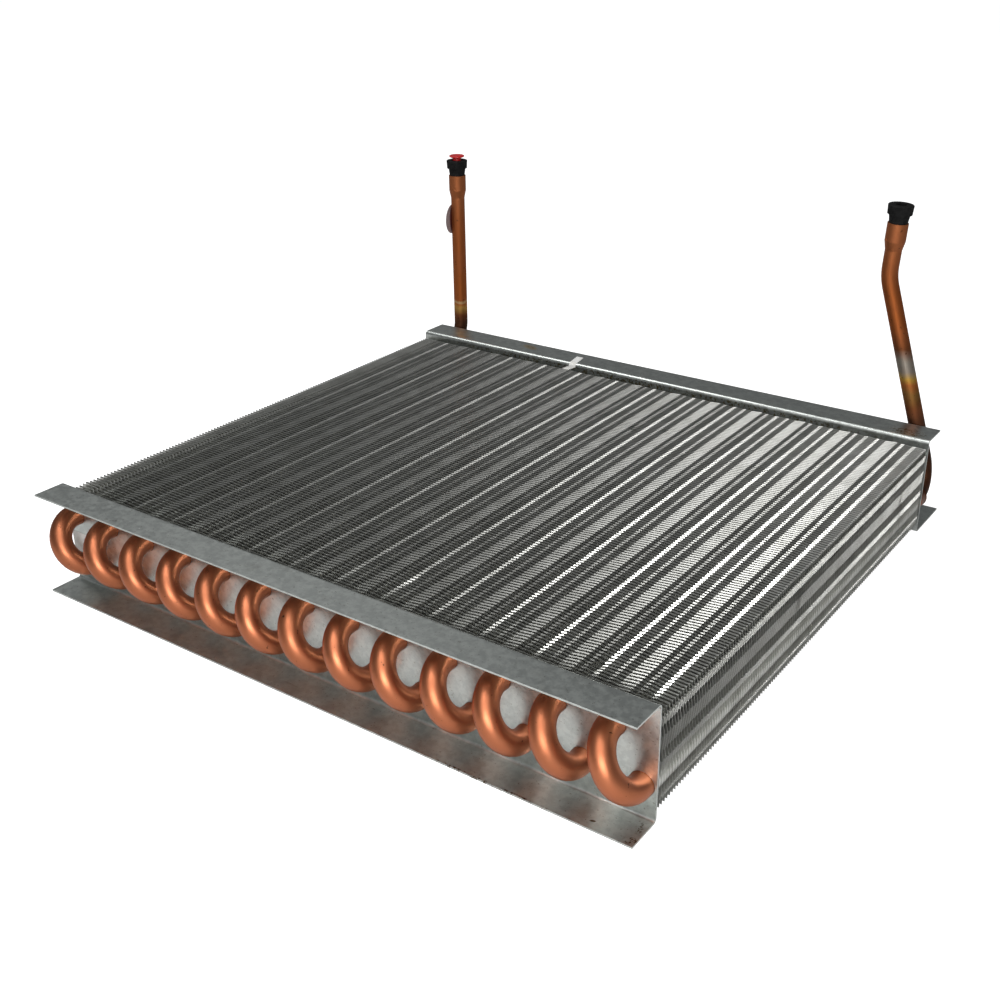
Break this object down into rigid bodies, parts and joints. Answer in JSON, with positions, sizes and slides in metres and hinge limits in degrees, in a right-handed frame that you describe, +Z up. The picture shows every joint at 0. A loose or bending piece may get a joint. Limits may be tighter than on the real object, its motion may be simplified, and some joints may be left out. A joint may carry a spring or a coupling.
{
  "type": "finned condenser coil",
  "caption": "Flat two-row tube and fin heat exchanger with folded steel end plates, copper hairpin bends and two stoppered connection pipes.",
  "frame": {"origin": "on the floor under the middle of the whole coil, pipes and tag included", "axes": "+X along the end plates towards the outlet pipe, +Y from the hairpin bends towards the pipes, +Z up"},
  "size_m": [0.4956, 0.5113, 0.2475],
  "materials": {
    "galvanised_steel": "galvanised sheet, mottled dull grey with bright cut edges",
    "fin_aluminium": "mill finish thin sheet, corrugated, a little dull",
    "copper": "bare copper, satin, browned by heat on the pipes",
    "black_rubber": "matte black rubber",
    "red_plastic": "red moulded plastic",
    "tag_film": "thin greyish film disc"
  },
  "bodies": {
    "root": {"front_end_plate": "galvanised_steel", "rear_end_plate": "galvanised_steel", "fin_pack": "fin_aluminium", "hairpin_01": "copper", "hairpin_02": "copper", "hairpin_03": "copper", "hairpin_04": "copper", "hairpin_05": "copper", "hairpin_06": "copper", "hairpin_07": "copper", "hairpin_08": "copper", "hairpin_09": "copper", "hairpin_10": "copper", "hairpin_11": "copper", "hairpin_12": "copper", "hairpin_13": "copper", "return_bend_01": "copper", "return_bend_02": "copper", "return_bend_03": "copper", "return_bend_04": "copper", "return_bend_05": "copper", "return_bend_06": "copper", "return_bend_07": "copper", "return_bend_08": "copper", "return_bend_09": "copper", "return_bend_10": "copper", "return_bend_11": "copper", "return_bend_12": "copper", "inlet_pipe": "copper", "outlet_pipe": "copper", "inlet_plug": "black_rubber", "outlet_plug": "black_rubber", "red_cap": "red_plastic", "round_tag": "tag_film"}
  },
  "joints": []
}
